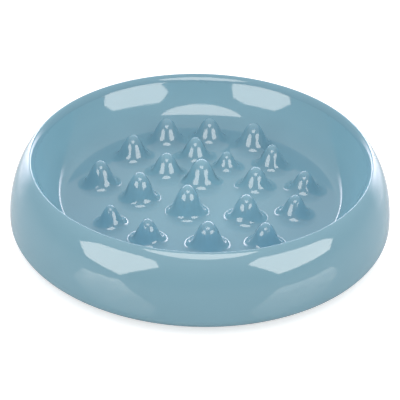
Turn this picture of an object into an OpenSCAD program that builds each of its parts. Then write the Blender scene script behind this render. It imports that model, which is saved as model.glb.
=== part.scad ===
// Slow feeder bowl in glazed stoneware: a low flared bowl whose basin floor
// carries a scatter of rounded nubs that the animal has to eat around.
// One thin skin of clay, open underneath. Every ring is a revolved section
// that is drawn from a few smooth curves.
// Millimetres, +Z up, origin on the table under the middle of the bowl.

/* [Body] */
// Diameter at the widest line of the outer wall
outer_d = 230; // [190:1:280]
// Height of the rim's crest above the table
bowl_h = 48.5; // [44:0.5:70]
// Height of the widest line above the table
widest_h = 10.3; // [9:0.1:14]
// How far the rim's crest stands in from the widest line
flank_w = 12.5; // [10:0.5:16]
// Thickness of the outer wall
wall_t = 5.5; // [4:0.1:6.5]
// Depth of the solid rim below its crest
rim_depth = 12; // [11:0.5:16]

/* [Foot] */
// How far the foot ring stands in from the widest line
foot_inset = 19; // [16:0.5:24]
// Width of the foot ring
foot_w = 7; // [5:0.5:9]
// Height of the foot ring
foot_h = 1.4; // [1:0.1:2]
// Bevel along the foot ring's lower edges
foot_bevel = 0.5; // [0.2:0.1:0.8]

/* [Basin] */
// Depth of the basin, from the rim's crest to the floor
basin_depth = 29; // [22:0.5:32]
// Width of the rounding between the crest and the basin's mouth
lip_w = 3.2; // [2.6:0.1:5]
// Depth of that rounding
lip_drop = 4.4; // [2.5:0.1:5.4]
// Width of the basin's sloping wall, from its mouth to the flat floor
slope_w = 17.3; // [14:0.1:20]
// Thickness of the basin's wall and floor
basin_t = 5.5; // [4:0.1:6.5]

/* [Nubs] */
// Height of a full-size nub above the floor
nub_h = 17; // [12:0.1:20]
// Diameter of a full-size nub at its waist, two thirds of the way up
nub_d = 11.5; // [10:0.1:17]
// Diameter of a full-size nub's flared foot
nub_foot_d = 24; // [21:0.1:24.6]
// Least clear floor between the feet of two nubs
nub_gap = 0.6; // [0.2:0.1:2]

/* [Hidden] */
// Smoothness of the revolved shapes
$fn = 180;
// Straight steps along each curve of a section
curve_steps = 14;
// Straight steps along each curve of a nub
nub_steps = 9;
// Overrun of the cutting bands past the faces that they cut
over = 1;

// Radii and heights that the sizes above lead to
outer_r = outer_d / 2;
crest_r = outer_r - flank_w;
mouth_r = crest_r - lip_w;
floor_r = mouth_r - slope_w;
foot_r = outer_r - foot_inset;
foot_inner_r = foot_r - foot_w;
joint_h = bowl_h - rim_depth;
mouth_h = bowl_h - lip_drop;
floor_h = bowl_h - basin_depth;
waist_r = nub_d / 2;
nub_foot_r = nub_foot_d / 2;
// Circle that the nubs' middles stay within, so that every foot is on the flat
reach_r = floor_r - nub_foot_r;

// Outer wall's curve: how far it runs out level from the crest, as a share of
// the way to the widest line, and how far it stays upright above that line
crest_run_share = 0.08;
upright_share = 0.683;
// Curve under the widest line: how far it drops upright, and how far it runs level
tuck_drop_share = 0.865;
tuck_run_share = 0.42;
// Rounding into the basin: its level start and its end, which leans with the wall
lip_run_share = 0.29;
lip_lean_share = 0.36;
// Basin wall: its steep start, and its level run into the floor
wall_lean_share = 0.218;
wall_fall_share = 0.413;
heel_run_share = 0.375;

// Nub's crown, the same on tall and low nubs: depth of the waist below the tip
// and reach of the curve up from the waist, as shares of a full-size nub's
// height, lean of the flank there, and width of the tip
crown_share = 0.324;
flank_reach_share = 0.259;
flank_lean_share = 0.383;
tip_share = 0.37;
// Nub's foot: reach of the curve down from the waist, and its level run
flare_reach_share = 0.45;
flare_share = 0.3;

// Each nub: across and along the bowl, as shares of the reach, then its
// height and its girth, as shares of the full-size nub
nub_shares = [
    [-0.321,  0.925, 0.97, 1.03],
    [ 0.066,  0.971, 0.93, 0.99],
    [ 0.464,  0.864, 1.01, 1.03],
    [-0.613,  0.618, 0.97, 0.96],
    [-0.058,  0.638, 0.88, 0.98],
    [ 0.625,  0.527, 0.92, 0.93],
    [-0.306,  0.353, 0.89, 1.00],
    [ 0.224,  0.465, 0.73, 0.86],
    [-0.872,  0.147, 1.01, 0.96],
    [ 0.004,  0.215, 1.01, 1.06],
    [ 0.476,  0.156, 0.89, 1.00],
    [-0.523, -0.072, 1.12, 0.97],
    [ 0.900,  0.134, 0.83, 0.98],
    [-0.109, -0.274, 1.17, 0.98],
    [ 0.390, -0.343, 1.01, 1.01],
    [ 0.806, -0.267, 0.85, 0.95],
    [-0.752, -0.474, 0.79, 0.83],
    [-0.431, -0.712, 0.90, 0.92],
    [ 0.068, -0.776, 1.03, 1.03],
    [ 0.547, -0.738, 0.94, 0.97]
];

// Colours of the glaze and of the bare clay
glaze_color = [0.47, 0.64, 0.71];
clay_color = [0.86, 0.82, 0.75];

// Point at t, from 0 to 1, on the cubic curve with the control points p
function curve_at(p, t) =
    pow(1 - t, 3) * p[0]
    + 3 * pow(1 - t, 2) * t * p[1]
    + 3 * (1 - t) * pow(t, 2) * p[2]
    + pow(t, 3) * p[3];

// Direction of travel along that curve at t
function travel_at(p, t) =
    pow(1 - t, 2) * (p[1] - p[0])
    + 2 * (1 - t) * t * (p[2] - p[1])
    + pow(t, 2) * (p[3] - p[2]);

// That point, moved sideways by off to the right of the direction of travel
function beside_at(p, t, off) =
    let (d = travel_at(p, t))
    curve_at(p, t) + off * [d.y, -d.x] / norm(d);

// Points along the curve, forwards or backwards, moved sideways by off
function forwards(p, off = 0, steps = curve_steps) =
    [for (i = [0 : steps]) beside_at(p, i / steps, off)];
function backwards(p, off = 0, steps = curve_steps) =
    [for (i = [steps : -1 : 0]) beside_at(p, i / steps, off)];

// Point part of the way from a to b, with a share of its own for each direction
function between(a, b, across, up) =
    [a.x + across * (b.x - a.x), a.y + up * (b.y - a.y)];

// Corners that the curves of the section run between
crest = [crest_r, bowl_h];
widest = [outer_r, widest_h];
foot_edge = [foot_r, foot_h];
mouth = [mouth_r, mouth_h];
floor_edge = [floor_r, floor_h];

// Outside of the bowl, from the crest down to its widest line
flank = [
    crest,
    between(crest, widest, crest_run_share, 0),
    between(widest, crest, 0, upright_share),
    widest
];
// From the widest line in under the bowl, to the foot ring
tuck = [
    widest,
    between(widest, foot_edge, 0, tuck_drop_share),
    between(foot_edge, widest, tuck_run_share, 0),
    foot_edge
];
// Inside of the basin, from its mouth down to the flat floor
basin = [
    mouth,
    between(mouth, floor_edge, wall_lean_share, wall_fall_share),
    between(floor_edge, mouth, heel_run_share, 0),
    floor_edge
];
// From the crest into the basin's mouth, ending in line with the basin wall
lip = [
    crest,
    between(crest, mouth, lip_run_share, 0),
    mouth - lip_lean_share * lip_drop * (basin[1] - mouth) / norm(basin[1] - mouth),
    mouth
];

// Band of the section between two heights
module band(low, high) {
    translate([0, low])
        square([outer_r + over, high - low]);
}

// Rolled rim, solid clay where the inner and the outer skin meet
module rim() {
    color(glaze_color)
        rotate_extrude()
            intersection() {
                polygon(concat(backwards(basin), backwards(lip), forwards(flank)));
                band(joint_h, bowl_h + over);
            }
}

// Outer skin, from under the rim down to the bowl's widest line
module outer_wall() {
    color(glaze_color)
        rotate_extrude()
            intersection() {
                polygon(concat(forwards(flank), backwards(flank, wall_t)));
                band(widest_h, joint_h);
            }
}

// Outer skin below the widest line, turned in under the bowl to the foot ring
module base_turn() {
    color(glaze_color)
        rotate_extrude()
            polygon(concat(
                forwards(tuck),
                [[foot_inner_r, foot_h], [foot_inner_r, foot_h + wall_t]],
                backwards(tuck, wall_t)
            ));
}

// Inner skin, from under the rim round into the floor
module basin_wall() {
    color(glaze_color)
        rotate_extrude()
            intersection() {
                polygon(concat(forwards(basin), backwards(basin, -basin_t)));
                band(floor_h - basin_t, joint_h);
            }
}

// Flat floor, which the nubs stand on
module basin_floor() {
    color(glaze_color)
        translate([0, 0, floor_h - basin_t])
            cylinder(r = floor_r, h = basin_t);
}

// Bare ring that the bowl stands on, wiped clean of glaze
module foot_ring() {
    color(clay_color)
        rotate_extrude()
            polygon([
                [foot_inner_r, foot_h],
                [foot_inner_r, foot_bevel],
                [foot_inner_r + foot_bevel, 0],
                [foot_r - foot_bevel, 0],
                [foot_r, foot_bevel],
                [foot_r, foot_h]
            ]);
}

// Room for the foot of a nub: its part, by girth, of the way to each other nub
function room_at(place) =
    min([
        for (other = nub_shares)
            let (away = reach_r * norm([other[0] - place[0], other[1] - place[1]]))
            if (away > 0)
                away * place[3] / (place[3] + other[3])
    ]) - nub_gap / 2;

// Girth of a nub, slimmer than its own where its neighbours leave less room
function girth_at(place) = min(place[3], room_at(place) / nub_foot_r);

// Revolved nub: a flared foot that runs into the floor, and a rounded crown
module nub(place) {
    high = place[2] * nub_h;
    girth = girth_at(place);
    foot = [girth * nub_foot_r, 0];
    waist = [girth * waist_r, high - crown_share * nub_h];
    tip = [0, high];
    lean = flank_lean_share * waist_r;
    reach = flank_reach_share * nub_h;
    fall = flare_reach_share * waist.y;
    flare = [
        foot,
        between(foot, waist, flare_share, 0),
        waist + [lean * fall / reach, -fall],
        waist
    ];
    crown = [waist, waist + [-lean, reach], between(tip, waist, tip_share, 0), tip];
    color(glaze_color)
        translate([place[0] * reach_r, place[1] * reach_r, floor_h])
            rotate_extrude()
                polygon(concat(
                    [[0, 0]],
                    forwards(flare, steps = nub_steps),
                    forwards(crown, steps = nub_steps)
                ));
}

module nub_01() { nub(nub_shares[0]); }
module nub_02() { nub(nub_shares[1]); }
module nub_03() { nub(nub_shares[2]); }
module nub_04() { nub(nub_shares[3]); }
module nub_05() { nub(nub_shares[4]); }
module nub_06() { nub(nub_shares[5]); }
module nub_07() { nub(nub_shares[6]); }
module nub_08() { nub(nub_shares[7]); }
module nub_09() { nub(nub_shares[8]); }
module nub_10() { nub(nub_shares[9]); }
module nub_11() { nub(nub_shares[10]); }
module nub_12() { nub(nub_shares[11]); }
module nub_13() { nub(nub_shares[12]); }
module nub_14() { nub(nub_shares[13]); }
module nub_15() { nub(nub_shares[14]); }
module nub_16() { nub(nub_shares[15]); }
module nub_17() { nub(nub_shares[16]); }
module nub_18() { nub(nub_shares[17]); }
module nub_19() { nub(nub_shares[18]); }
module nub_20() { nub(nub_shares[19]); }

rim();
outer_wall();
base_turn();
basin_wall();
basin_floor();
foot_ring();
nub_01();
nub_02();
nub_03();
nub_04();
nub_05();
nub_06();
nub_07();
nub_08();
nub_09();
nub_10();
nub_11();
nub_12();
nub_13();
nub_14();
nub_15();
nub_16();
nub_17();
nub_18();
nub_19();
nub_20();
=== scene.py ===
"""Slow feeder bowl in glazed stoneware, dressed for its portrait.

The bowl is one fired casting. Its skin is drawn here as a polar surface whose
section is a chain of cubic curves, its twenty nubs as polar surfaces of their
own that melt into the basin's floor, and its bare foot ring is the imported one.
"""

import logging
import math
from collections.abc import Callable
from dataclasses import dataclass, field
from enum import Enum

import bpy
import numpy as np
from mathutils import Matrix, Vector


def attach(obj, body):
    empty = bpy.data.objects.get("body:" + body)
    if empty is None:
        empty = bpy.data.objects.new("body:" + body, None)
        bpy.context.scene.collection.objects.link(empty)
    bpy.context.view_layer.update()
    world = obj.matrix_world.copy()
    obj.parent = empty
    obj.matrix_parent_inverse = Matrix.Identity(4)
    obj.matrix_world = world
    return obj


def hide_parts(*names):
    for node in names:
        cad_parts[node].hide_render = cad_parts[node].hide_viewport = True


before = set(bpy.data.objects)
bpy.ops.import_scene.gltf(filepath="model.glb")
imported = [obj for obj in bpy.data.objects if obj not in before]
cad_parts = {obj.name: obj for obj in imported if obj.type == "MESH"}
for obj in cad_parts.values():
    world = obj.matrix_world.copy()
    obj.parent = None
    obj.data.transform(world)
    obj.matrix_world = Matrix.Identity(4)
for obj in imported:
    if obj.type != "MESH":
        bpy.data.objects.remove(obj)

logging.basicConfig(level=logging.INFO, format="%(message)s")
LOG = logging.getLogger("slow_feeder_bowl")

MM = 0.001
SLOPE_STEP = 0.02 * MM
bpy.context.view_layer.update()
Surface = Callable[[np.ndarray, np.ndarray], np.ndarray]


class Rays(Enum):
    """Kinds of ray that a stage surface answers in its own way."""

    CAMERA = "Is Camera Ray"
    GLOSSY = "Is Glossy Ray"
    TRANSMISSION = "Is Transmission Ray"


class Slot(Enum):
    """Name of a material slot of the record; nothing in the script uses it."""

    GLAZE = "glaze"


# Section curves


@dataclass(frozen=True)
class Cubic:
    """A cubic curve in the plane of the section, from four control points.

    Attributes:
        points: Control points as (distance from the axis, height), in metres.
    """

    points: tuple[tuple[float, float], ...]

    def at(self, t: np.ndarray) -> np.ndarray:
        """Points on the curve: the control points weighted by (1-t) cubed,
        3 t (1-t) squared, 3 t squared (1-t) and t cubed.

        Args:
            t: Parameters from 0 to 1.

        Returns:
            One row of (r, z) for each parameter.
        """
        p = np.array(self.points)
        s = 1.0 - t
        weights = np.stack([s**3, 3 * s * s * t, 3 * s * t * t, t**3], axis=1)
        return weights @ p

    def travel(self, t: np.ndarray) -> np.ndarray:
        """Unit direction of travel: the differences of neighbouring control
        points weighted by (1-t) squared, 2 t (1-t) and t squared.

        Args:
            t: Parameters from 0 to 1.

        Returns:
            One row of (dr, dz) for each parameter.
        """
        steps = np.diff(np.array(self.points), axis=0)
        s = 1.0 - t
        weights = np.stack([s * s, 2 * s * t, t * t], axis=1)
        way = weights @ steps
        return way / np.linalg.norm(way, axis=1, keepdims=True)

    def beside(self, t: np.ndarray, off: float) -> np.ndarray:
        """The curve moved sideways, off to the right of its travel."""
        way = self.travel(t)
        return self.at(t) + off * np.stack([way[:, 1], -way[:, 0]], axis=1)


def between(
    a: tuple[float, float], b: tuple[float, float], across: float, up: float
) -> tuple[float, float]:
    """Point part of the way from a to b, with a share for each direction."""
    return (a[0] + across * (b[0] - a[0]), a[1] + up * (b[1] - a[1]))


@dataclass(frozen=True)
class BowlSection:
    """Sizes of the bowl's section, in metres, and the curves drawn from them."""

    outer_r: float = 115.0 * MM
    height: float = 48.5 * MM
    widest_h: float = 10.3 * MM
    flank_w: float = 12.5 * MM
    wall_t: float = 5.5 * MM
    rim_depth: float = 12.0 * MM
    foot_inset: float = 19.0 * MM
    foot_w: float = 7.0 * MM
    foot_h: float = 1.4 * MM
    basin_depth: float = 29.0 * MM
    lip_w: float = 3.2 * MM
    lip_drop: float = 4.4 * MM
    slope_w: float = 17.3 * MM
    basin_t: float = 5.5 * MM
    crest_run_share: float = 0.08
    upright_share: float = 0.683
    tuck_drop_share: float = 0.865
    tuck_run_share: float = 0.42
    lip_run_share: float = 0.29
    lip_lean_share: float = 0.36
    wall_lean_share: float = 0.218
    wall_fall_share: float = 0.413
    heel_run_share: float = 0.375

    @property
    def crest(self) -> tuple[float, float]:
        """Top of the rim."""
        return (self.outer_r - self.flank_w, self.height)

    @property
    def widest(self) -> tuple[float, float]:
        """Widest line of the outer wall."""
        return (self.outer_r, self.widest_h)

    @property
    def foot(self) -> tuple[float, float]:
        """Outer edge of the foot ring's upper face."""
        return (self.outer_r - self.foot_inset, self.foot_h)

    @property
    def mouth(self) -> tuple[float, float]:
        """Where the rim's rounding hands over to the basin wall."""
        return (self.crest[0] - self.lip_w, self.height - self.lip_drop)

    @property
    def floor(self) -> tuple[float, float]:
        """Edge of the basin's flat floor."""
        return (self.mouth[0] - self.slope_w, self.height - self.basin_depth)

    def flank(self) -> Cubic:
        """Outer wall, from the crest down to the widest line."""
        return Cubic(
            (
                self.crest,
                between(self.crest, self.widest, self.crest_run_share, 0),
                between(self.widest, self.crest, 0, self.upright_share),
                self.widest,
            )
        )

    def tuck(self) -> Cubic:
        """Outer wall, from the widest line in under the bowl to the foot."""
        return Cubic(
            (
                self.widest,
                between(self.widest, self.foot, 0, self.tuck_drop_share),
                between(self.foot, self.widest, self.tuck_run_share, 0),
                self.foot,
            )
        )

    def basin(self) -> Cubic:
        """Basin wall, from its mouth down to the flat floor."""
        return Cubic(
            (
                self.mouth,
                between(self.mouth, self.floor, self.wall_lean_share, self.wall_fall_share),
                between(self.floor, self.mouth, self.heel_run_share, 0),
                self.floor,
            )
        )

    def lip(self) -> Cubic:
        """Rounding from the crest into the basin, in line with its wall.

        Returns:
            The curve. Its last two control points lie on the wall's tangent.
        """
        mouth = np.array(self.mouth)
        lean = np.array(self.basin().points[1]) - mouth
        lean = lean / np.linalg.norm(lean)
        back = mouth - self.lip_lean_share * self.lip_drop * lean
        return Cubic(
            (
                self.crest,
                between(self.crest, self.mouth, self.lip_run_share, 0),
                (float(back[0]), float(back[1])),
                self.mouth,
            )
        )


def slope_of(surface: Surface, x: np.ndarray, y: np.ndarray) -> tuple[np.ndarray, np.ndarray]:
    """Slope of a surface across and along, by central differences.

    Args:
        surface: Function that gives the surface's height at each place.
        x: Places across the bowl.
        y: Places along it.

    Returns:
        The slope across and the slope along.
    """
    wide = 2 * SLOPE_STEP
    across = (surface(x + SLOPE_STEP, y) - surface(x - SLOPE_STEP, y)) / wide
    along = (surface(x, y + SLOPE_STEP) - surface(x, y - SLOPE_STEP)) / wide
    return across, along


# Nubs


@dataclass(frozen=True)
class NubShape:
    """Shape of a full-size nub, in metres: a rounded crown on steep flanks,
    as high on low nubs as on tall ones, and a skirt that flares out over the
    floor."""

    height: float = 17.0 * MM
    waist_r: float = 5.75 * MM
    skirt_r: float = 15.2 * MM
    crown_share: float = 0.324
    lean_share: float = 0.383
    reach_share: float = 0.259
    tip_share: float = 0.37
    skirt_run_share: float = 0.58
    skirt_reach_share: float = 0.4

    def curves(self, high: float, girth: float) -> tuple[Cubic, Cubic]:
        """Crown and skirt of one nub, as curves from its tip outwards.

        Args:
            high: Height share of this nub.
            girth: Girth share of this nub.

        Returns:
            The crown, from tip to waist, and the skirt, from waist to floor.
        """
        top = high * self.height
        waist = (girth * self.waist_r, top - self.crown_share * self.height)
        lean = self.lean_share * self.waist_r
        reach = self.reach_share * self.height
        fall = self.skirt_reach_share * waist[1]
        skirt = girth * self.skirt_r
        crown = Cubic(
            (
                (0.0, top),
                (self.tip_share * waist[0], top),
                (waist[0] - lean, waist[1] + reach),
                waist,
            )
        )
        flare = Cubic(
            (
                waist,
                (waist[0] + lean * fall / reach, waist[1] - fall),
                (skirt + self.skirt_run_share * (waist[0] - skirt), 0.0),
                (skirt, 0.0),
            )
        )
        return crown, flare


@dataclass
class NubField:
    """The scatter of nubs: their places and sizes, and the surface they make.

    Attributes:
        shape: The full-size nub.
        reach: Radius that the places are shares of, in metres.
        edge_r: Radius at which a full-girth nub's own skin ends.
        samples: Points that each section is read from.
        places: One row for each nub: across, along, height and girth shares.
    """

    shape: NubShape = field(default_factory=NubShape)
    reach: float = 70.0 * MM
    edge_r: float = 11.4 * MM
    samples: int = 3000
    places: tuple[tuple[float, float, float, float], ...] = (
        (-0.321, 0.925, 0.97, 1.03),
        (0.066, 0.971, 0.93, 0.99),
        (0.464, 0.864, 1.01, 1.03),
        (-0.613, 0.618, 0.97, 0.96),
        (-0.058, 0.638, 0.88, 0.98),
        (0.625, 0.527, 0.92, 0.93),
        (-0.306, 0.353, 0.89, 1.00),
        (0.224, 0.465, 0.73, 0.86),
        (-0.872, 0.147, 1.01, 0.96),
        (0.004, 0.215, 1.01, 1.06),
        (0.476, 0.156, 0.89, 1.00),
        (-0.523, -0.072, 1.12, 0.97),
        (0.900, 0.134, 0.83, 0.98),
        (-0.109, -0.274, 1.17, 0.98),
        (0.390, -0.343, 1.01, 1.01),
        (0.806, -0.267, 0.85, 0.95),
        (-0.752, -0.474, 0.79, 0.83),
        (-0.431, -0.712, 0.90, 0.92),
        (0.068, -0.776, 1.03, 1.03),
        (0.547, -0.738, 0.94, 0.97),
    )

    def __post_init__(self) -> None:
        """Samples every nub's section once, as height against distance."""
        t = np.linspace(0.0, 1.0, self.samples)
        self.profiles: list[tuple[np.ndarray, np.ndarray]] = []
        for _, _, high, girth in self.places:
            crown, flare = self.shape.curves(high, girth)
            line = np.concatenate([crown.at(t), flare.at(t)[1:]])
            self.profiles.append((line[:, 0], line[:, 1]))

    def middle(self, number: int) -> tuple[float, float]:
        """Place of a nub's axis, in metres."""
        across, along, _, _ = self.places[number]
        return (across * self.reach, along * self.reach)

    def rise(self, x: np.ndarray, y: np.ndarray) -> np.ndarray:
        """Height that the nubs add at each point: the cube root of the sum of
        the cubes of every nub's own section, read at the distance from its
        axis. A tall flank keeps its own shape, and low skirts melt together.

        Args:
            x: Places across the bowl.
            y: Places along it.

        Returns:
            The added height, in metres.
        """
        total = np.zeros_like(x)
        for number, (reach, high) in enumerate(self.profiles):
            cx, cy = self.middle(number)
            total += np.interp(np.hypot(x - cx, y - cy), reach, high, right=0.0) ** 3
        return np.cbrt(total)

    def edge(self, number: int) -> float:
        """Radius at which a nub's own skin ends, inside its skirt."""
        return self.edge_r * self.places[number][3]


# Mesh making


@dataclass
class Rings:
    """A skin of revolution as rings of points from pole to pole.

    Attributes:
        points: One array of (x, y, z) for each ring. A pole has one point.
        normals: Outward unit normals, alike.
    """

    points: list[np.ndarray] = field(default_factory=list)
    normals: list[np.ndarray] = field(default_factory=list)

    def add(self, points: np.ndarray, normals: np.ndarray) -> None:
        """Adds the next ring."""
        self.points.append(points)
        self.normals.append(normals / np.linalg.norm(normals, axis=1, keepdims=True))

    def faces(self) -> np.ndarray:
        """Triangles between neighbouring rings.

        Rings of equal count are joined by two triangles a cell, a ring and
        one of twice its count by three triangles a coarse cell, and a pole
        by a fan.

        Returns:
            Rows of three vertex numbers.
        """
        out: list[np.ndarray] = []
        start = 0
        for inner, outer in zip(self.points, self.points[1:]):
            n, m = len(inner), len(outer)
            a, b = start, start + n
            i = np.arange(max(n, m) if 1 in (n, m) else min(n, m))
            k = (i + 1) % len(i)
            if n == 1:
                corners = [(np.full(m, a), b + i, b + k)]
            elif m == 1:
                corners = [(a + i, np.full(n, b), a + k)]
            elif n == m:
                corners = [(a + i, b + i, b + k), (a + i, b + k, a + k)]
            elif m == 2 * n:
                left, mid, right = b + 2 * i, b + 2 * i + 1, b + 2 * k
                corners = [(a + i, left, mid), (a + i, mid, a + k), (a + k, mid, right)]
            else:
                left, mid, right = a + 2 * i, a + 2 * i + 1, a + 2 * k
                corners = [(left, b + i, mid), (mid, b + i, b + k), (mid, b + k, right)]
            out += [np.stack(three, axis=1) for three in corners]
            start += n
        return np.concatenate(out)

    def build(self, name: str, tint: np.ndarray) -> bpy.types.Object:
        """Makes the skin an object at the origin.

        Args:
            name: Name of the piece.
            tint: Amount of the glaze's deeper tint at each vertex, from 0 to 1: pooled glaze and
                painted shade.

        Returns:
            The new object.
        """
        verts = np.concatenate(self.points)
        tris = self.faces()
        mesh = bpy.data.meshes.new(name)
        mesh.vertices.add(len(verts))
        mesh.vertices.foreach_set("co", verts.astype(np.float32).ravel())
        mesh.loops.add(tris.size)
        mesh.loops.foreach_set("vertex_index", tris.astype(np.int32).ravel())
        mesh.polygons.add(len(tris))
        mesh.polygons.foreach_set("loop_start", np.arange(0, tris.size, 3, dtype=np.int32))
        mesh.update(calc_edges=True)
        mesh.validate()
        mesh.polygons.foreach_set("use_smooth", np.ones(len(tris), dtype=bool))
        # The attribute carries the deeper tint: pooled glaze and painted shade.
        layer = mesh.attributes.new("glaze_depth_and_shade", "FLOAT", "POINT")
        layer.data.foreach_set("value", tint.astype(np.float32))
        mesh.normals_split_custom_set_from_vertices(np.concatenate(self.normals))
        LOG.info("%s: %d vertices, %d triangles", name, len(verts), len(tris))
        return put(name, mesh)


def put(name: str, data: bpy.types.ID) -> bpy.types.Object:
    """Makes an object of a mesh or a camera and puts it in the scene.

    Args:
        name: Its name.
        data: The mesh or the camera.

    Returns:
        The new object.
    """
    made = bpy.data.objects.new(name, data)
    bpy.context.scene.collection.objects.link(made)
    return made


def turned(r: float, z: float, count: int) -> tuple[np.ndarray, np.ndarray, np.ndarray]:
    """A level ring: points at equal angles round the axis.

    Args:
        r: Radius.
        z: Height.
        count: Number of points.

    Returns:
        The points, and the cosine and sine of each point's angle.
    """
    angle = np.arange(count) * (2 * math.pi / count)
    c, s = np.cos(angle), np.sin(angle)
    return np.stack([r * c, r * s, np.full(count, z)], axis=1), c, s


# Finishes


def socket(
    group: bpy.types.NodeTree, name: str, way: str, kind: str, value: float | None = None
) -> None:
    """Adds a named socket to a node group's interface.

    Args:
        group: The node group.
        name: Name of the socket.
        way: INPUT or OUTPUT.
        kind: Type of the socket.
        value: Its value where nothing is linked, if it has one.
    """
    made = group.interface.new_socket(name=name, in_out=way, socket_type=kind)
    if value is not None:
        made.default_value = value


def reckon(
    tree: bpy.types.NodeTree,
    operation: str,
    first: bpy.types.NodeSocket,
    second: bpy.types.NodeSocket | float,
) -> bpy.types.NodeSocket:
    """One step of arithmetic as a node.

    Args:
        tree: Nodes that the step is added to.
        operation: Name of the operation.
        first: First value.
        second: Second value, a socket or a plain number.

    Returns:
        The socket with the result.
    """
    node = tree.nodes.new("ShaderNodeMath")
    node.operation = operation
    tree.links.new(first, node.inputs[0])
    if isinstance(second, float):
        node.inputs[1].default_value = second
    else:
        tree.links.new(second, node.inputs[1])
    return node.outputs[0]


def noise(tree: bpy.types.NodeTree, detail: float) -> bpy.types.Node:
    """Adds a noise node that is read in the object's own coordinates.

    Args:
        tree: Nodes that it is added to.
        detail: How much finer detail rides on it.

    Returns:
        The node. Its scale is still to be set.
    """
    place = tree.nodes.new("ShaderNodeTexCoord")
    made = tree.nodes.new("ShaderNodeTexNoise")
    made.inputs["Detail"].default_value = detail
    tree.links.new(place.outputs["Object"], made.inputs["Vector"])
    return made


def mottle_group() -> bpy.types.NodeTree:
    """Shared effect: a slow drift and a fine speckle, as one value about 1.

    Returns:
        A node group with inputs Drift Scale, Drift, Speckle Scale and
        Speckle, and the output Value.
    """
    found = bpy.data.node_groups.get("fired_mottle")
    if found is not None:
        return found
    group = bpy.data.node_groups.new("fired_mottle", "ShaderNodeTree")
    socket(group, "Drift Scale", "INPUT", "NodeSocketFloat", 20.0)
    socket(group, "Drift", "INPUT", "NodeSocketFloat", 0.05)
    socket(group, "Speckle Scale", "INPUT", "NodeSocketFloat", 900.0)
    socket(group, "Speckle", "INPUT", "NodeSocketFloat", 0.03)
    socket(group, "Value", "OUTPUT", "NodeSocketFloat")
    inp = group.nodes.new("NodeGroupInput")
    out = group.nodes.new("NodeGroupOutput")
    parts = []
    effects = (("Drift Scale", "Drift", 2.0), ("Speckle Scale", "Speckle", 1.0))
    for scale_name, amount_name, detail in effects:
        pattern = noise(group, detail)
        group.links.new(inp.outputs[scale_name], pattern.inputs["Scale"])
        centred = reckon(group, "SUBTRACT", pattern.outputs["Fac"], 0.5)
        parts.append(reckon(group, "MULTIPLY", centred, inp.outputs[amount_name]))
    about_one = reckon(group, "ADD", reckon(group, "ADD", parts[0], parts[1]), 1.0)
    group.links.new(about_one, out.inputs["Value"])
    return group


@dataclass(frozen=True)
class FiredFinish:
    """What every finish of the bowl shares: a colour that drifts a little.

    Attributes:
        name: Name of the material.
        color: Plain colour, linear.
        drift: How far the colour drifts.
        speckle: How strongly it is speckled.
    """

    name: str
    color: tuple[float, float, float]
    drift: float
    speckle: float

    def start(
        self,
    ) -> tuple[bpy.types.Material, bpy.types.ShaderNodeBsdfPrincipled, bpy.types.Node]:
        """Makes the material and its mottle.

        Returns:
            The material, its shader, and the mottle node.
        """
        material = bpy.data.materials.new(self.name)
        material.use_nodes = True
        nodes = material.node_tree.nodes
        shader = nodes["Principled BSDF"]
        mottle = nodes.new("ShaderNodeGroup")
        mottle.node_tree = mottle_group()
        mottle.inputs["Drift"].default_value = self.drift
        mottle.inputs["Speckle"].default_value = self.speckle
        return material, shader, mottle

    @staticmethod
    def scaled(
        material: bpy.types.Material, color: bpy.types.NodeSocket, by: bpy.types.NodeSocket
    ) -> bpy.types.NodeSocket:
        """A colour with its brightness multiplied by a value.

        Args:
            material: The material.
            color: The colour.
            by: The value.

        Returns:
            The socket with the result.
        """
        nodes, links = material.node_tree.nodes, material.node_tree.links
        times = nodes.new("ShaderNodeVectorMath")
        times.operation = "SCALE"
        links.new(color, times.inputs[0])
        links.new(by, times.inputs["Scale"])
        return times.outputs[0]

    @staticmethod
    def uneven(
        material: bpy.types.Material,
        shader: bpy.types.ShaderNodeBsdfPrincipled,
        scale: float,
        detail: float,
        depth: float,
    ) -> None:
        """Gives the surface a fine unevenness that only its shading shows.

        Args:
            material: The material.
            shader: Its shader.
            scale: Scale of the unevenness.
            detail: How much finer detail rides on it.
            depth: How deep it is, in metres.
        """
        tree = material.node_tree
        pattern = noise(tree, detail)
        pattern.inputs["Scale"].default_value = scale
        bump = tree.nodes.new("ShaderNodeBump")
        bump.inputs["Strength"].default_value = 1.0
        bump.inputs["Distance"].default_value = depth
        tree.links.new(pattern.outputs["Fac"], bump.inputs["Height"])
        tree.links.new(bump.outputs["Normal"], shader.inputs["Normal"])


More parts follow.
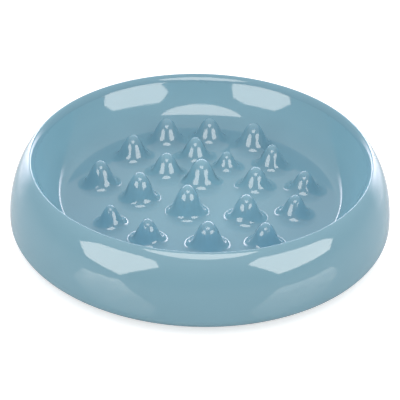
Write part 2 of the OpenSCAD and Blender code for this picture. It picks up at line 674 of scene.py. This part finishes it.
@dataclass(frozen=True)
class GlazeFinish(FiredFinish):
    """Glossy coloured glaze, from its plain tint to a deeper one that stands for pooled glaze and
    for painted shade.

    Attributes:
        pooled_and_shade: Deeper tint, where the mesh's glaze_depth_and_shade is 1, linear: pooled
            glaze, and painted shade in the basin.
        roughness: Roughness of the glaze's surface.
        ior: Index of refraction of the glaze.
        ripple: Depth of the faint waviness of the fired surface, in metres.
        ripple_scale: Scale of that waviness.
    """

    pooled_and_shade: tuple[float, float, float]
    roughness: float = 0.06
    ior: float = 1.6
    ripple: float = 0.02 * MM
    ripple_scale: float = 60.0

    def build(self) -> bpy.types.Material:
        """Makes the glaze's material.

        Returns:
            The new material.
        """
        material, shader, mottle = self.start()
        nodes, links = material.node_tree.nodes, material.node_tree.links
        # The mix darkens the glaze towards the deeper tint: pooled glaze, and painted shade in the
        # basin's heel.
        depth = nodes.new("ShaderNodeAttribute")
        depth.attribute_name = "glaze_depth_and_shade"
        tint = nodes.new("ShaderNodeMix")
        tint.data_type = "RGBA"
        tint.inputs["A"].default_value = (*self.color, 1.0)
        tint.inputs["B"].default_value = (*self.pooled_and_shade, 1.0)
        links.new(depth.outputs["Fac"], tint.inputs["Factor"])
        color = self.scaled(material, tint.outputs["Result"], mottle.outputs["Value"])
        links.new(color, shader.inputs["Base Color"])
        self.uneven(material, shader, self.ripple_scale, detail=1.0, depth=self.ripple)
        shader.inputs["Roughness"].default_value = self.roughness
        shader.inputs["IOR"].default_value = self.ior
        return material


@dataclass(frozen=True)
class ClayFinish(FiredFinish):
    """Bare fired clay: matt, a little gritty.

    Attributes:
        grit: Depth of the grain, in metres.
        grain_scale: Scale of the grain.
        roughness: Roughness of the bare clay.
    """

    grit: float = 0.1 * MM
    grain_scale: float = 1400.0
    roughness: float = 0.85

    def build(self) -> bpy.types.Material:
        """Makes the bare clay's material.

        Returns:
            The new material.
        """
        material, shader, mottle = self.start()
        tree = material.node_tree
        base = tree.nodes.new("ShaderNodeRGB")
        base.outputs[0].default_value = (*self.color, 1.0)
        color = self.scaled(material, base.outputs[0], mottle.outputs["Value"])
        tree.links.new(color, shader.inputs["Base Color"])
        self.uneven(material, shader, self.grain_scale, detail=3.0, depth=self.grit)
        shader.inputs["Roughness"].default_value = self.roughness
        return material


GLAZE = GlazeFinish(
    name="blue_grey_glaze",
    color=(0.25, 0.475, 0.582),
    # The deeper tint stands partly for pooled glaze and partly for painted shade on the basin
    # floor.
    pooled_and_shade=(0.192, 0.372, 0.475),
    drift=0.05,
    speckle=0.02,
)
CLAY = ClayFinish(name="bare_biscuit", color=(0.66, 0.60, 0.50), drift=0.12, speckle=0.25)


# The bowl


@dataclass(frozen=True)
class TintAndShadeRegions:
    """How much of the glaze's deeper tint shows, by region of the bowl: partly
    pooled glaze, and partly painted shade that darkens the floor's outer ring
    by the foot of the basin wall. The amounts were tuned by trial renders
    against the photograph.

    Attributes:
        outside: Amount on the rim, the outer wall and the hidden faces.
        middle: Amount in the middle of the floor.
        floor_span_share: Where on the floor the amount starts to grow from
            that and where it is full, as shares of the floor's radius.
        wall_span: Where the amount starts to fall again and where it is
            gone, as distances out from the floor's edge, in metres.
        under: Depth below the floor at which the hidden faces start.
    """

    outside: float = 0.55
    middle: float = 0.35
    floor_span_share: tuple[float, float] = (0.3, 0.85)
    wall_span: tuple[float, float] = (-2.0 * MM, 12.0 * MM)
    under: float = 2.0 * MM

    def at(self, section: BowlSection, points: np.ndarray) -> np.ndarray:
        """Amount of the deeper tint at each point: the lesser of two straight
        ramps over the distance from the axis, of which one grows across the
        floor and the other falls up the wall.

        Args:
            section: The bowl's section.
            points: Rows of (x, y, z).

        Returns:
            A value from 0 to 1 for each point.
        """
        edge, level = section.floor
        away = np.hypot(points[:, 0], points[:, 1])
        wall_from, wall_to = self.wall_span
        floor_from, floor_to = self.floor_span_share
        wall = np.interp(away, (edge + wall_from, edge + wall_to), (1.0, 0.0))
        floor = np.interp(away, (floor_from * edge, floor_to * edge), (self.middle, 1.0))
        outside = (away > section.mouth[0]) | (points[:, 2] < level - self.under)
        # Painted shade: the deeper tint is fullest on the floor's outer ring by the wall's foot,
        # and paler in the floor's middle and up the wall.
        return np.where(outside, self.outside, np.minimum(wall, floor))


TINT_AND_SHADE = TintAndShadeRegions()


@dataclass
class Casting:
    """The glazed casting: one closed skin for the walls and the floor.

    Attributes:
        section: The bowl's section.
        nubs: The nubs that raise the floor.
        fine: Points round the finest rings.
        cell: Spacing of the rings across the floor, in metres.
        wall_rings: Rings down the basin wall.
        fine_wall_rings: How many of them, next to the floor, are finest.
        lip_rings: Rings over the rim's rounding.
        flank_rings: Rings down the outer wall.
        tuck_rings: Rings under it to the foot.
        turn_rings: Rings round each half of the turned-in edge.
        hidden_steps: Places that each hidden curve is read at before thinning.
        coarse: Radii below which a floor ring has fewer points, each with
            the number that the finest count is divided by.
        sink: How far inside a nub's edge the floor starts to duck under it.
        duck_steep: How steeply the floor then drops below the nub.
        duck_lip: Most that it stands over the flat floor at that start.
        duck_fall: How fast that limit falls inwards.
        duck_depth: Lowest that it goes below the flat floor.
        soft: Radius of the rounding on the turned-in edge.
        inset: How far the level face under the rim stands in from the skins.
        under_rings: Radii of the rings on the floor's underside.
    """

    section: BowlSection
    nubs: NubField
    fine: int = 768
    cell: float = 0.85 * MM
    wall_rings: int = 30
    fine_wall_rings: int = 6
    lip_rings: int = 18
    flank_rings: int = 46
    tuck_rings: int = 26
    turn_rings: int = 7
    hidden_steps: int = 40
    coarse: tuple[tuple[float, int], ...] = ((12 * MM, 8), (24 * MM, 4), (50 * MM, 2))
    sink: float = 1.2 * MM
    duck_steep: float = 2.2
    duck_lip: float = 0.4 * MM
    duck_fall: float = 0.5
    duck_depth: float = 4.0 * MM
    soft: float = 1.2 * MM
    inset: float = 0.8 * MM
    under_rings: tuple[float, float, float] = (60 * MM, 30 * MM, 8 * MM)

    def count_at(self, r: float) -> int:
        """Points round a floor ring: halved inwards so that cells stay even.

        Args:
            r: Radius of the ring.

        Returns:
            Its number of points.
        """
        for radius, parts in self.coarse:
            if r < radius:
                return self.fine // parts
        return self.fine

    def ducked(self, x: np.ndarray, y: np.ndarray, z: np.ndarray) -> np.ndarray:
        """Height of the floor where nubs stand: inside a nub's edge the floor
        drops with the depth inside that edge, so that only the nub shows,
        but never as low as its own underside.

        Args:
            x: Places across the bowl.
            y: Places along it.
            z: Height of the shared surface there.

        Returns:
            The floor's own height.
        """
        level = self.section.floor[1]
        low = z.copy()
        for number in range(len(self.nubs.places)):
            cx, cy = self.nubs.middle(number)
            inside = self.nubs.edge(number) - self.sink - np.hypot(x - cx, y - cy)
            under = inside > 0
            cap = level + self.duck_lip - self.duck_fall * inside
            sunk = np.minimum(low - self.duck_steep * inside, cap)
            low[under] = np.maximum(sunk, level - self.duck_depth)[under]
        return low

    def lay_basin(self, rings: Rings, r: float, z: float, steep: float, count: int) -> None:
        """Adds one ring of the basin: the section's height plus the nubs' rise.

        Args:
            rings: Rings so far.
            r: Radius.
            z: Height of the section there.
            steep: Rise of the section per length outwards there.
            count: Points round the ring.
        """
        points, c, s = turned(r, z, count)
        x, y = points[:, 0], points[:, 1]
        across, along = slope_of(self.nubs.rise, x, y)
        shared = z + self.nubs.rise(x, y)
        points[:, 2] = self.ducked(x, y, shared)
        normals = [-(steep * c + across), -(steep * s + along), np.ones(count)]
        rings.add(points, np.stack(normals, axis=1))

    def lay_line(self, rings: Rings, line: np.ndarray, way: np.ndarray, count: int) -> None:
        """Adds rings along a curve, with normals to the left of its travel.

        Args:
            rings: Rings so far.
            line: Rows of (r, z) along the curve.
            way: Unit directions of travel, alike.
            count: Points round each ring.
        """
        for (r, z), (dr, dz) in zip(line, way):
            points, c, s = turned(float(r), float(z), count)
            rings.add(points, np.stack([-dz * c, -dz * s, np.full(count, dr)], axis=1))

    def rings(self) -> Rings:
        """Rings from the middle of the floor out over the rim, under the
        bowl, and back inside to the middle of the floor's underside.

        Returns:
            The rings of the closed skin.
        """
        sec = self.section
        out = Rings()
        middle = np.array([0.0])
        high = sec.floor[1] + self.nubs.rise(middle, middle)
        across, along = slope_of(self.nubs.rise, middle, middle)
        out.add(np.array([[0.0, 0.0, high[0]]]), np.array([[-across[0], -along[0], 1.0]]))
        steps = int(round(sec.floor[0] / self.cell))
        for r in np.linspace(0.0, sec.floor[0], steps + 1)[1:]:
            self.lay_basin(out, float(r), sec.floor[1], 0.0, self.count_at(float(r)))
        wall = sec.basin()
        t = np.linspace(1.0, 0.0, self.wall_rings + 1)[1:]
        half = self.fine // 2
        for index, ((r, z), (dr, dz)) in enumerate(zip(wall.at(t), wall.travel(t))):
            count = self.fine if index < self.fine_wall_rings else half
            self.lay_basin(out, float(r), float(z), float(dz / dr), count)
        lip = sec.lip()
        t = np.linspace(1.0, 0.0, self.lip_rings + 1)[1:]
        self.lay_line(out, lip.at(t), -lip.travel(t), half)
        for curve, count in ((sec.flank(), self.flank_rings), (sec.tuck(), self.tuck_rings)):
            t = np.linspace(0.0, 1.0, count + 1)[1:]
            self.lay_line(out, curve.at(t), curve.travel(t), half)
        self.lay_underside(out)
        return out

    def lay_underside(self, out: Rings) -> None:
        """Adds the turned-in edge and the hidden inner faces.

        They follow the outer faces at the skin's thickness, up to the
        underside of the solid rim and down to the floor's underside.

        Args:
            out: Rings so far.
        """
        sec = self.section
        quarter = self.fine // 4
        inner = sec.foot[0] - sec.foot_w
        turn = np.linspace(0.0, math.pi / 2, self.turn_rings)
        c, s = np.cos(turn), np.sin(turn)
        middle = inner + self.soft
        bottom = sec.foot_h + self.soft
        top = sec.foot_h + sec.wall_t - self.soft
        low = np.stack([middle - self.soft * s, bottom - self.soft * c], axis=1)
        low_way = np.stack([-c, s], axis=1)
        high = np.stack([middle - self.soft * c, top + self.soft * s], axis=1)
        high_way = np.stack([s, c], axis=1)
        self.lay_line(out, low, low_way, quarter)
        self.lay_line(out, high, high_way, quarter)
        joint = sec.height - sec.rim_depth
        t = np.linspace(1.0, 0.0, self.hidden_steps)
        for curve, step in ((sec.tuck(), 3), (sec.flank(), 2)):
            part = t[::step]
            line = curve.beside(part, sec.wall_t)
            keep = line[:, 1] < joint
            self.lay_line(out, line[keep][1:], -curve.travel(part)[keep][1:], quarter)
        t = np.linspace(0.0, 1.0, self.hidden_steps)
        wall = sec.basin()
        line = wall.beside(t, -sec.basin_t)
        keep = line[:, 1] < joint
        outer_end = float(out.points[-1][0][0]) - self.inset
        inner_start = float(line[keep][0][0]) + self.inset
        level = np.array([[outer_end, joint], [inner_start, joint]])
        self.lay_line(out, level, np.array([[-1.0, 0.0], [-1.0, 0.0]]), quarter)
        self.lay_line(out, line[keep][::2], wall.travel(t)[keep][::2], quarter)
        under = sec.floor[1] - sec.basin_t
        for r, count in zip(self.under_rings, (quarter, quarter // 2, quarter // 4)):
            points, _, _ = turned(r, under, count)
            out.add(points, np.tile([0.0, 0.0, -1.0], (count, 1)))
        out.add(np.array([[0.0, 0.0, under]]), np.array([[0.0, 0.0, -1.0]]))

    def build(self, glaze: bpy.types.Material) -> bpy.types.Object:
        """Makes the casting's skin and dresses it.

        Args:
            glaze: The glaze.

        Returns:
            The new piece.
        """
        rings = self.rings()
        # The deeper tint is part pooled glaze, part painted shade in the basin.
        tint = TINT_AND_SHADE.at(self.section, np.concatenate(rings.points))
        made = rings.build("glazed_casting", tint)
        made.data.materials.append(glaze)
        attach(made, "root")
        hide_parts("rim", "outer_wall", "base_turn", "basin_wall", "basin_floor")
        return made


@dataclass
class Nub:
    """One nub, as a skin of its own that ends in the floor round it.

    Attributes:
        field: The scatter that it belongs to.
        section: The bowl's section.
        number: Its place in the scatter, from 0.
        around: Points round each ring.
        crown_steps: Places that the crown is read at, one ring for each.
        skirt_steps: Places that the whole skirt is read at.
        skirt_rings: Rings that the part inside the edge is thinned to, or a
            few more.
        wall_steps: Places that the basin wall is read at.
        bury: How far the last ring sinks into the floor, in metres.
        cap_drop: Depth of the closing cap below the floor, in metres.
    """

    field: NubField
    section: BowlSection
    number: int
    around: int = 112
    crown_steps: int = 27
    skirt_steps: int = 400
    skirt_rings: int = 18
    wall_steps: int = 600
    bury: float = 0.03 * MM
    cap_drop: float = 1.5 * MM

    def rings(self) -> Rings:
        """Rings from the tip out along the crown and the skirt.

        A ring's points lie at the section's own distance from the nub's axis,
        at the height that all nubs together make there. The last ring sinks
        a hair's breadth into the floor, and a cap under it closes the skin.

        Returns:
            The rings of the closed skin.
        """
        cx, cy = self.field.middle(self.number)
        _, _, high, girth = self.field.places[self.number]
        crown, flare = self.field.shape.curves(high, girth)
        edge = self.field.edge(self.number)
        reach = crown.at(np.linspace(0.0, 1.0, self.crown_steps))[1:, 0]
        low = flare.at(np.linspace(0.0, 1.0, self.skirt_steps))[:, 0]
        low = low[(low > reach[-1]) & (low < edge)]
        thinned = low[:: max(1, len(low) // self.skirt_rings)]
        reach = np.concatenate([[0.0], reach, thinned, [edge]])
        out = Rings()
        for r in reach:
            count = 1 if r == 0.0 else self.around
            ring, _, _ = turned(float(r), 0.0, count)
            x, y = ring[:, 0] + cx, ring[:, 1] + cy
            across, along = slope_of(self.level, x, y)
            z = self.level(x, y)
            if r == edge:
                z = z - self.bury
            normals = [-across, -along, np.ones(count)]
            out.add(np.stack([x, y, z], axis=1), np.stack(normals, axis=1))
        floor = self.section.floor[1] - self.cap_drop
        rim, _, _ = turned(edge, floor, self.around)
        rim += (cx, cy, 0.0)
        out.add(rim, np.tile([0.0, 0.0, -1.0], (self.around, 1)))
        out.add(np.array([[cx, cy, floor]]), np.array([[0.0, 0.0, -1.0]]))
        return out

    def level(self, x: np.ndarray, y: np.ndarray) -> np.ndarray:
        """Height that all nubs make together, on the floor or the basin wall."""
        wall = self.section.basin().at(np.linspace(1.0, 0.0, self.wall_steps))
        return np.interp(np.hypot(x, y), wall[:, 0], wall[:, 1]) + self.field.rise(x, y)

    def build(self, glaze: bpy.types.Material) -> bpy.types.Object:
        """Makes the nub and dresses it.

        Args:
            glaze: The glaze.

        Returns:
            The new piece.
        """
        node = f"nub_{self.number + 1:02d}"
        rings = self.rings()
        # The deeper tint is part pooled glaze, part painted shade in the basin.
        tint = TINT_AND_SHADE.at(self.section, np.concatenate(rings.points))
        made = rings.build(f"glazed_{node}", tint)
        made.data.materials.append(glaze)
        # Nothing mirrors the nubs: their images would break up the softboxes'
        # strips on the nubs behind them.
        made.visible_glossy = False
        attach(made, "root")
        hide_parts(node)
        return made


@dataclass
class FootRing:
    """The bare ring that the bowl stands on, kept as it was packed."""

    node: str = "foot_ring"

    def dress(self, clay: bpy.types.Material) -> None:
        """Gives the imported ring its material.

        Args:
            clay: The bare clay.
        """
        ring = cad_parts[self.node]
        if not ring.material_slots:
            ring.data.materials.append(clay)
        for place in ring.material_slots:
            place.material = clay
        LOG.info("%s: dressed in %s", self.node, clay.name)


# The studio


def any_ray(tree: bpy.types.NodeTree, kinds: tuple[Rays, ...]) -> bpy.types.NodeSocket:
    """A value that is 1 for any of the given kinds of ray, and 0 for others.

    Args:
        tree: Nodes that the value is for.
        kinds: The kinds of ray.

    Returns:
        The value's socket.
    """
    path = tree.nodes.new("ShaderNodeLightPath")
    total = path.outputs[kinds[0].value]
    for kind in kinds[1:]:
        total = reckon(tree, "MAXIMUM", total, path.outputs[kind.value])
    return total


def eased(
    tree: bpy.types.NodeTree,
    value: bpy.types.NodeSocket,
    span: tuple[float, float],
    result: tuple[float, float],
) -> bpy.types.NodeSocket:
    """A value that changes smoothly while another crosses a span.

    Args:
        tree: Nodes that the step is added to.
        value: The value that is watched.
        span: Start and end of the span.
        result: What is given at its start and at its end.

    Returns:
        The socket with the result.
    """
    node = tree.nodes.new("ShaderNodeMapRange")
    node.interpolation_type = "SMOOTHSTEP"
    node.inputs["From Min"].default_value = span[0]
    node.inputs["From Max"].default_value = span[1]
    node.inputs["To Min"].default_value = result[0]
    node.inputs["To Max"].default_value = result[1]
    tree.links.new(value, node.inputs["Value"])
    return node.outputs["Result"]


def half_moon(
    half_width: float, drop: float, top: float, corners: int = 37
) -> tuple[tuple[float, float], ...]:
    """Outline of a half disc that hangs from its straight edge.

    Args:
        half_width: Half the straight edge.
        drop: How far the arc hangs below it.
        top: Height of the straight edge over the panel's middle.
        corners: Number of corners.

    Returns:
        Corners, half an ellipse from the right end round to the left end.
    """
    turn = np.linspace(0.0, math.pi, corners)
    return tuple((half_width * math.cos(a), top - drop * math.sin(a)) for a in turn)


@dataclass(frozen=True)
class Panel:
    """A softbox: a flat shape of even light.

    Attributes:
        name: Name of the softbox.
        middle: Its middle, in metres.
        across: Unit direction of its width.
        upward: Unit direction of its height.
        outline: Corners as (along its width, along its height), in metres.
        strength: Brightness as a lamp, where 1 is white.
        mirrored: Brightness in reflections, set apart from that of the lamp.
        color: Colour of its light, linear.
    """

    name: str
    middle: tuple[float, float, float]
    across: tuple[float, float, float]
    upward: tuple[float, float, float]
    outline: tuple[tuple[float, float], ...]
    strength: float = 1.4
    mirrored: float = 6.0
    color: tuple[float, float, float] = (1.0, 0.94, 0.88)

    def build(self) -> bpy.types.Object:
        """Makes the softbox, unseen by the camera and casting no shadow.

        Returns:
            The new softbox.
        """
        ways = np.array([self.across, self.upward])
        verts = np.array(self.middle) + np.array(self.outline) @ ways
        mesh = bpy.data.meshes.new(self.name)
        mesh.from_pydata(verts.tolist(), [], [list(range(len(verts)))])
        light = bpy.data.materials.new(self.name)
        light.use_nodes = True
        nodes, links = light.node_tree.nodes, light.node_tree.links
        nodes.clear()
        out = nodes.new("ShaderNodeOutputMaterial")
        glow = nodes.new("ShaderNodeEmission")
        glow.inputs["Color"].default_value = (*self.color, 1.0)
        pick = nodes.new("ShaderNodeMapRange")
        pick.inputs["To Min"].default_value = self.strength
        pick.inputs["To Max"].default_value = self.mirrored
        links.new(any_ray(light.node_tree, (Rays.GLOSSY,)), pick.inputs["Value"])
        links.new(pick.outputs["Result"], glow.inputs["Strength"])
        links.new(glow.outputs[0], out.inputs["Surface"])
        mesh.materials.append(light)
        made = put(self.name, mesh)
        made.visible_camera = False
        made.visible_shadow = False
        return made


@dataclass
class Studio:
    """Plain soft light, a pale floor, and a white surround.

    The surround's spans are read on a ray's unit direction: its part upwards,
    or its part away from the camera.

    Attributes:
        surround: Brightness of the surround at the horizon and overhead.
        surround_span: Parts upwards at which those two are reached.
        sheet: Brightness that the low lit sheet behind the bowl adds.
        sheet_color: Colour of that sheet, linear.
        sheet_away_span: Parts away at which it begins and is full.
        sheet_top_span: Parts upwards at which it starts to fade and is gone.
        floor_half: Half the floor's side, in metres.
        floor_color: Colour of the floor, linear.
        floor_roughness: Roughness of the floor.
        floor_lift: White that the floor adds for the camera.
    """

    surround: tuple[float, float] = (0.62, 1.3)
    surround_span: tuple[float, float] = (0.0, 0.8)
    sheet: float = 6.0
    sheet_color: tuple[float, float, float] = (0.96, 0.9, 1.0)
    sheet_away_span: tuple[float, float] = (0.55, 0.92)
    sheet_top_span: tuple[float, float] = (0.26, 0.38)
    floor_half: float = 3.0
    floor_color: tuple[float, float, float] = (0.8, 0.8, 0.8)
    floor_roughness: float = 0.04
    floor_lift: float = 0.6

    def panels(self) -> list[Panel]:
        """Places the softboxes round the camera's side of the bowl.

        Returns:
            The three of them: front left, front right and above.
        """
        return [
            Panel(
                "softbox_left",
                (-0.332, -0.353, 0.150),
                (-0.742, 0.671, 0.0),
                (0.0, 0.0, 1.0),
                (
                    (-0.200, 0.030),
                    (-0.173, 0.103),
                    (-0.084, 0.122),
                    (0.120, 0.088),
                    (0.220, -0.001),
                    (0.146, -0.100),
                    (-0.033, -0.131),
                ),
            ),
            Panel(
                "softbox_right",
                (0.360, -0.290, 0.150),
                (0.635, 0.773, 0.0),
                (0.0, 0.0, 1.0),
                (
                    (-0.214, 0.064),
                    (-0.179, 0.098),
                    (-0.137, 0.122),
                    (0.178, 0.043),
                    (0.228, -0.015),
                    (0.176, -0.088),
                    (-0.089, -0.100),
                ),
            ),
            Panel(
                "softbox_above",
                (0.007, -0.345, 0.333),
                (1.0, 0.0, 0.0),
                (0.0, 0.762, 0.647),
                half_moon(0.225, 0.140, 0.070),
            ),
        ]

    def light_world(self) -> None:
        """Makes the surround: white to the camera, and in reflections and as
        light a pale shell that brightens from the horizon to overhead, with a
        brightly lit sheet behind the bowl."""
        world = bpy.data.worlds.new("surround")
        bpy.context.scene.world = world
        world.use_nodes = True
        tree = world.node_tree
        nodes, links = tree.nodes, tree.links
        nodes.clear()
        out = nodes.new("ShaderNodeOutputWorld")
        place = nodes.new("ShaderNodeTexCoord")
        parts = nodes.new("ShaderNodeSeparateXYZ")
        links.new(place.outputs["Generated"], parts.inputs[0])
        upwards, away = parts.outputs["Z"], parts.outputs["Y"]
        behind = eased(tree, away, self.sheet_away_span, (0.0, self.sheet))
        low = eased(tree, upwards, self.sheet_top_span, (1.0, 0.0))
        shell = nodes.new("ShaderNodeBackground")
        links.new(eased(tree, upwards, self.surround_span, self.surround), shell.inputs["Strength"])
        sheet = nodes.new("ShaderNodeBackground")
        sheet.inputs["Color"].default_value = (*self.sheet_color, 1.0)
        links.new(reckon(tree, "MULTIPLY", behind, low), sheet.inputs["Strength"])
        room = nodes.new("ShaderNodeAddShader")
        links.new(shell.outputs[0], room.inputs[0])
        links.new(sheet.outputs[0], room.inputs[1])
        white = nodes.new("ShaderNodeBackground")
        white.inputs["Strength"].default_value = 1.0
        pick = nodes.new("ShaderNodeMixShader")
        links.new(any_ray(tree, (Rays.CAMERA, Rays.TRANSMISSION)), pick.inputs[0])
        links.new(room.outputs[0], pick.inputs[1])
        links.new(white.outputs[0], pick.inputs[2])
        links.new(pick.outputs[0], out.inputs["Surface"])

    def lay_floor(self) -> None:
        """Lays the pale floor. To the camera it adds white, so that it meets
        the background, and keeps the bowl's shadow."""
        half = self.floor_half
        mesh = bpy.data.meshes.new("studio_floor")
        corners = [(-half, -half, 0.0), (half, -half, 0.0), (half, half, 0.0), (-half, half, 0.0)]
        mesh.from_pydata(corners, [], [[0, 1, 2, 3]])
        paint = bpy.data.materials.new("pale_floor")
        paint.use_nodes = True
        tree = paint.node_tree
        shader = tree.nodes["Principled BSDF"]
        shader.inputs["Base Color"].default_value = (*self.floor_color, 1.0)
        shader.inputs["Roughness"].default_value = self.floor_roughness
        shader.inputs["Emission Color"].default_value = (1.0, 1.0, 1.0, 1.0)
        lift = reckon(tree, "MULTIPLY", any_ray(tree, (Rays.CAMERA,)), self.floor_lift)
        tree.links.new(lift, shader.inputs["Emission Strength"])
        mesh.materials.append(paint)
        made = put("studio_floor", mesh)

    def build(self) -> None:
        """Sets up the whole studio."""
        self.light_world()
        self.lay_floor()
        for panel in self.panels():
            panel.build()
        bpy.context.scene.view_settings.view_transform = "Standard"
        LOG.info("studio: three softboxes, floor and surround")


@dataclass(frozen=True)
class PortraitCamera:
    """The camera at the photograph's angle.

    Attributes:
        elevation: Degrees above the horizon.
        roll: Turn about the line of sight, in radians.
        distance: From the target, in metres.
        target: Point in the middle of the frame, in metres.
        lens: Focal length, in millimetres.
        sensor: Width of the sensor, in millimetres.
    """

    elevation: float = 32.5525
    roll: float = 0.026
    distance: float = 1.1
    target: tuple[float, float, float] = (-0.000167, 0.0, 0.017312)
    lens: float = 163.163
    sensor: float = 36.0

    def build(self) -> None:
        """Makes the camera and sets it as the scene's."""
        e = math.radians(self.elevation)
        forward = Vector((0.0, math.cos(e), -math.sin(e)))
        right = Vector((1.0, 0.0, 0.0))
        up = right.cross(forward)
        c, s = math.cos(self.roll), math.sin(self.roll)
        right, up = c * right + s * up, c * up - s * right
        place = Vector(self.target) - self.distance * forward
        data = bpy.data.cameras.new("portrait_camera")
        data.sensor_width = self.sensor
        data.lens = self.lens
        camera = put("portrait_camera", data)
        turn = Matrix((right, up, -forward)).transposed().to_4x4()
        camera.matrix_world = Matrix.Translation(place) @ turn
        bpy.context.scene.camera = camera
        LOG.info("camera: %.1f degrees up, %.2f m away", self.elevation, self.distance)


def main() -> None:
    """Builds the bowl piece by piece, then the studio and the camera."""
    section = BowlSection()
    nubs = NubField()
    glaze = GLAZE.build()
    clay = CLAY.build()
    Casting(section, nubs).build(glaze)
    for number in range(len(nubs.places)):
        Nub(nubs, section, number).build(glaze)
    FootRing().dress(clay)
    Studio().build()
    PortraitCamera().build()


if __name__ == "__main__":
    main()
